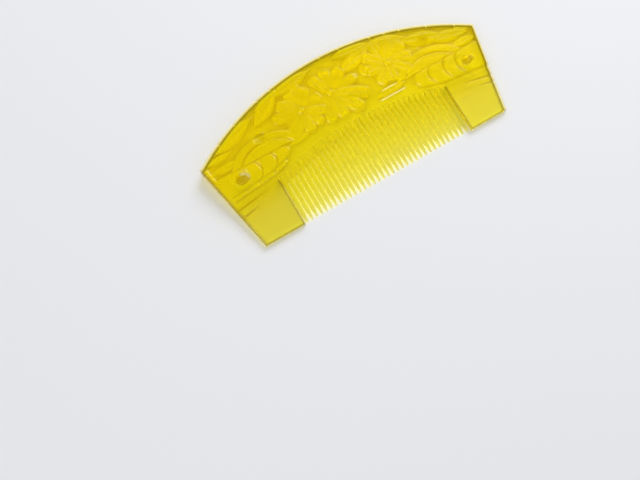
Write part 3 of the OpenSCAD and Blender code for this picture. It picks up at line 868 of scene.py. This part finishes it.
# %% [markdown]
# ## Yellow acetate
#
# Cellulose acetate is the plastic of such combs. It is cast in sheet, sawn, carved and then
# buffed to a gloss, so it is clear in its depth and shows very slight waves where the buffing
# wheel went. With age it turns a little milky. Seen through a thin tooth tip it is nearly
# colourless, and through the body it is a deep golden yellow.
#
# That is Beer's law: each millimetre takes the same share of the blue. The clear part gets it
# from a plain absorbing volume, and its surface only bends and reflects. The milky part
# scatters light, which would be slow to render as a volume, so it is a matt colour worked out
# from the same law: what is left of white behind the thickness under the point. The
# Transmission Weight shares out the two, and on the plates the clear part has most of it.
#
# Lamps reach the table through the comb, because its surface is part transparent to shadow
# rays. The outer wall stops those that come in from the side, and so the comb stands in a
# soft grey shadow of its own instead of floating on light.

# %% Helpers for materials
def to_linear(code):
    """An sRGB hex colour as the linear values that a shader takes."""
    srgb = np.array([int(code[i:i + 2], 16) for i in (1, 3, 5)]) / 255
    linear = np.where(srgb <= 0.04045, srgb / 12.92, ((srgb + 0.055) / 1.055) ** 2.4)
    return (*linear.tolist(), 1.0)


def add_node(tree, kind, links=(), **settings):
    """Adds a node, sets its properties and inputs by name, and links its inputs."""
    node = tree.nodes.new(kind)
    for name, value in settings.items():
        if hasattr(node, name):
            setattr(node, name, value)
        else:
            node.inputs[name.replace("_", " ")].default_value = value
    for socket, source in dict(links).items():
        tree.links.new(source, node.inputs[socket])
    return node


print("mid grey #808080 is", round(to_linear("#808080")[0], 3), "in linear light")

# %% Yellow acetate: how light fares in its depth
# how fast red, green and blue fade, for each millimetre, in the clear and in the milky part
ABSORBED = np.array([0.002, 0.017, 0.9])
CLOUDED = np.array([0.002, 0.036, 1.3])
# what the milky part gives back where nothing has faded yet
CLOUD_WHITE = 0.98
# waves that buffing leaves, in millimetres: their length, and what a full strength makes them high
BUFF_WAVE_L, BUFF_WAVE_H = 3.0, 0.1

acetate = bpy.data.materials.new("yellow_acetate_buffed")
acetate.use_nodes = True
tree = acetate.node_tree
tree.nodes.clear()
place = add_node(tree, "ShaderNodeTexCoord").outputs["Object"]
waves = add_node(tree, "ShaderNodeTexNoise", {"Vector": place},
                 Scale=PER_METRE / BUFF_WAVE_L, Detail=3.0)
bump = add_node(tree, "ShaderNodeBump", {"Height": waves.outputs[0]},
                Strength=0.15, Distance=BUFF_WAVE_H * MM)

depth = add_node(tree, "ShaderNodeSeparateXYZ", {"Vector": place}).outputs["Z"]
passed = []
for share in CLOUDED:
    lost = add_node(tree, "ShaderNodeMath", {0: depth}, operation="MULTIPLY_ADD")
    lost.inputs[1].default_value = float(-PER_METRE * share)
    lost.inputs[2].default_value = math.log(CLOUD_WHITE)
    passed.append(add_node(tree, "ShaderNodeMath", {0: lost.outputs[0]}, operation="EXPONENT"))
by_name = {c: n.outputs[0] for c, n in zip(("Red", "Green", "Blue"), passed)}
gold = add_node(tree, "ShaderNodeCombineColor", by_name)
print("left of red, green and blue after 5 mm:", np.exp(-5 * ABSORBED).round(3))


# %% Yellow acetate: painted shade and light from the attributes
def tinted(colour, factor, high, tint, kind):
    """Lays a tint over a colour, from none at 0 to all of it where the value is high."""
    share = add_node(tree, "ShaderNodeMapRange", {"Value": factor}, From_Max=high)
    node = add_node(tree, "ShaderNodeMix", {0: share.outputs[0]},
                    data_type="RGBA", blend_type=kind)
    tree.links.new(colour, node.inputs[6])
    node.inputs[7].default_value = to_linear(tint)
    return node.outputs[2]


painted_tone_value, rim_value, painted_glow_value, cloud_value = [
    add_node(tree, "ShaderNodeAttribute", attribute_name=name).outputs["Fac"]
    for name in ("painted_tone", "rim", "painted_glow", "cloud")
]
# painted shade as a deeper gold in grooves, painted light as a purer yellow on crests and walls,
# an olive line of painted shade, and painted light of the pale lip and highlights over all
colour = tinted(gold.outputs[0], painted_tone_value, -1.0, "#cdba72", "MULTIPLY")
colour = tinted(colour, painted_tone_value, 2.0, "#fff400", "MIX")
colour = tinted(colour, rim_value, 1.1, "#8f8028", "MIX")
colour = tinted(colour, painted_glow_value, 1.0, "#fff7c4", "MIX")
# share of the clear part where the cloud is 0 and where it is 1
CLEAR, MILKY = 0.72, 0.2
clarity = add_node(tree, "ShaderNodeMapRange", {"Value": cloud_value}, To_Min=CLEAR, To_Max=MILKY)
plastic = add_node(
    tree, "ShaderNodeBsdfPrincipled",
    {"Normal": bump.outputs[0], "Base Color": colour, "Transmission Weight": clarity.outputs[0]},
    Roughness=0.1, IOR=1.49,
)
print("clear share on the plates:", CLEAR)

# %% Yellow acetate: lamps through the comb, and its volume
# what a surface lets through of a lamp, where the plastic is clear and where it is sawn
LAMP_CLEAR, LAMP_SAWN = 0.6, 0.94
# 0 on the outer wall and 1 elsewhere, and 1 for every ray that leaves the plastic
not_outer = add_node(tree, "ShaderNodeMapRange", {"Value": cloud_value},
                     From_Min=-0.05, From_Max=0.0)
leaving = add_node(tree, "ShaderNodeNewGeometry").outputs["Backfacing"]
is_open = add_node(tree, "ShaderNodeMath", {0: not_outer.outputs[0], 1: leaving},
                   operation="MAXIMUM")
strength = add_node(tree, "ShaderNodeMapRange", {"Value": cloud_value},
                    From_Max=SAWN, To_Min=LAMP_CLEAR, To_Max=LAMP_SAWN)
let_through = add_node(tree, "ShaderNodeMath", {0: is_open.outputs[0], 1: strength.outputs[0]},
                       operation="MULTIPLY")
for_lamps = add_node(tree, "ShaderNodeBsdfTransparent", {"Color": let_through.outputs[0]})
path = add_node(tree, "ShaderNodeLightPath")
surface = add_node(tree, "ShaderNodeMixShader", {
    0: path.outputs["Is Shadow Ray"], 1: plastic.outputs[0], 2: for_lamps.outputs[0],
})
density = float(ABSORBED.max() * PER_METRE)
clear = 1 - ABSORBED / ABSORBED.max()
inside = add_node(tree, "ShaderNodeVolumeAbsorption", Color=(*clear.tolist(), 1), Density=density)
add_node(tree, "ShaderNodeOutputMaterial",
         {"Surface": surface.outputs[0], "Volume": inside.outputs[0]})
comb_mesh.materials.append(acetate)
print("absorption a metre:", density, "tint:", clear.round(4))

# %% [markdown]
# ## Table, light and camera
#
# The comb lies on its back on a pale matt table. A broad soft window stands behind it to the
# right and a weaker fill in front on the left, and the camera looks down from in front on the
# left. Two small lamps at the sides only put glints on the carving. They are hidden from matt
# surfaces and from light that goes through the comb, so they throw no shadow on the table.
#
# The room is pale, but its first reflection is kept dark. A polished face shows what stands
# behind the camera, and in a product photo that is a dark room. With a bright one there, a
# pale veil would lie over all the yellow.

# %% Table
# half its side, and how far it lies under the comb, in metres
TABLE_HALF, TABLE_DROP = 1.2, 5e-5
table_corners = [
    (TABLE_HALF * x, TABLE_HALF * y, -TABLE_DROP) for x, y in ((-1, -1), (1, -1), (1, 1), (-1, 1))
]
table_mesh = bpy.data.meshes.new("table")
table_mesh.from_pydata(table_corners, [], [(0, 1, 2, 3)])
table = bpy.data.objects.new("table", table_mesh)
bpy.context.scene.collection.objects.link(table)

# painted board, rough enough that no lamp is mirrored in it
matt = bpy.data.materials.new("matt_pale_table")
matt.use_nodes = True
matt.node_tree.nodes.clear()
paint = add_node(matt.node_tree, "ShaderNodeBsdfPrincipled", Base_Color=to_linear("#f1f1f2"),
                 Roughness=0.6)
add_node(matt.node_tree, "ShaderNodeOutputMaterial", {"Surface": paint.outputs[0]})
table_mesh.materials.append(matt)
print("table of", 2 * TABLE_HALF, "m")


# %% Lights
def soft_light(name, place, size, power):
    """A square area light at a place in metres, turned to face the comb."""
    lamp = bpy.data.lights.new(name, "AREA")
    lamp.size, lamp.energy = size, power
    thing = bpy.data.objects.new(name, lamp)
    x, y, z = place
    thing.location = place
    thing.rotation_euler = (math.atan2(math.hypot(x, y), z), 0, math.atan2(x, -y))
    bpy.context.scene.collection.objects.link(thing)
    return thing


window = soft_light("window", (0.44, 0.38, 0.52), size=0.5, power=3.7)
window.visible_glossy = False
for name, place in (("glint_right", (0.5, 0.22, 0.26)), ("glint_left", (-0.55, -0.05, 0.24))):
    glint = soft_light(name, place, size=0.25, power=0.3)
    glint.visible_diffuse = glint.visible_transmission = False
fill = soft_light("fill", (-0.5, -0.3, 0.8), size=0.6, power=1.6)
print("window and fill, watts:", [round(lamp.data.energy, 1) for lamp in (window, fill)])

# %% Room
ROOM_LIGHT, FIRST_REFLECTION = 0.62, 0.03
# a ray that has bounced less often than this is an early one
EARLY_BOUNCES = 2.5

world = bpy.data.worlds.new("room")
world.use_nodes = True
tree = world.node_tree
background = tree.nodes["Background"]
background.inputs["Color"].default_value = to_linear("#e6e8ec")
path = add_node(tree, "ShaderNodeLightPath")
early = add_node(tree, "ShaderNodeMath", {0: path.outputs["Ray Depth"]}, operation="LESS_THAN")
early.inputs[1].default_value = EARLY_BOUNCES
mirrored = add_node(tree, "ShaderNodeMath",
                    {0: path.outputs["Is Glossy Ray"], 1: early.outputs[0]}, operation="MULTIPLY")
brightness = add_node(tree, "ShaderNodeMix", {0: mirrored.outputs[0]})
brightness.inputs[2].default_value = ROOM_LIGHT
brightness.inputs[3].default_value = FIRST_REFLECTION
tree.links.new(brightness.outputs[0], background.inputs["Strength"])
bpy.context.scene.world = world
bpy.context.scene.view_settings.view_transform = "Standard"
print("room light", ROOM_LIGHT, "and", FIRST_REFLECTION, "in a first reflection")

# %% Camera
# place in the comb's millimetres and turn in degrees, fitted to its outline in the photograph
CAMERA_PLACE = np.array([-54.45, -38.69, 172.69])
CAMERA_TURN = (12.998, -1.386, -30.780)
# sensor and lens in millimetres, nearest visible distance in metres
SENSOR_W, FOCAL_LENGTH, CLIP_START = 36.0, 31.5, 0.01

eye = bpy.data.cameras.new("camera")
eye.sensor_width, eye.lens, eye.clip_start = SENSOR_W, FOCAL_LENGTH, CLIP_START
camera = bpy.data.objects.new("camera", eye)
camera.location = (CAMERA_PLACE - [0, COMB_H / 2, 0]) * MM
camera.rotation_euler = [math.radians(a) for a in CAMERA_TURN]
bpy.context.scene.collection.objects.link(camera)
bpy.context.scene.camera = camera
print("camera", round(float(CAMERA_PLACE[2])), "mm over the table")
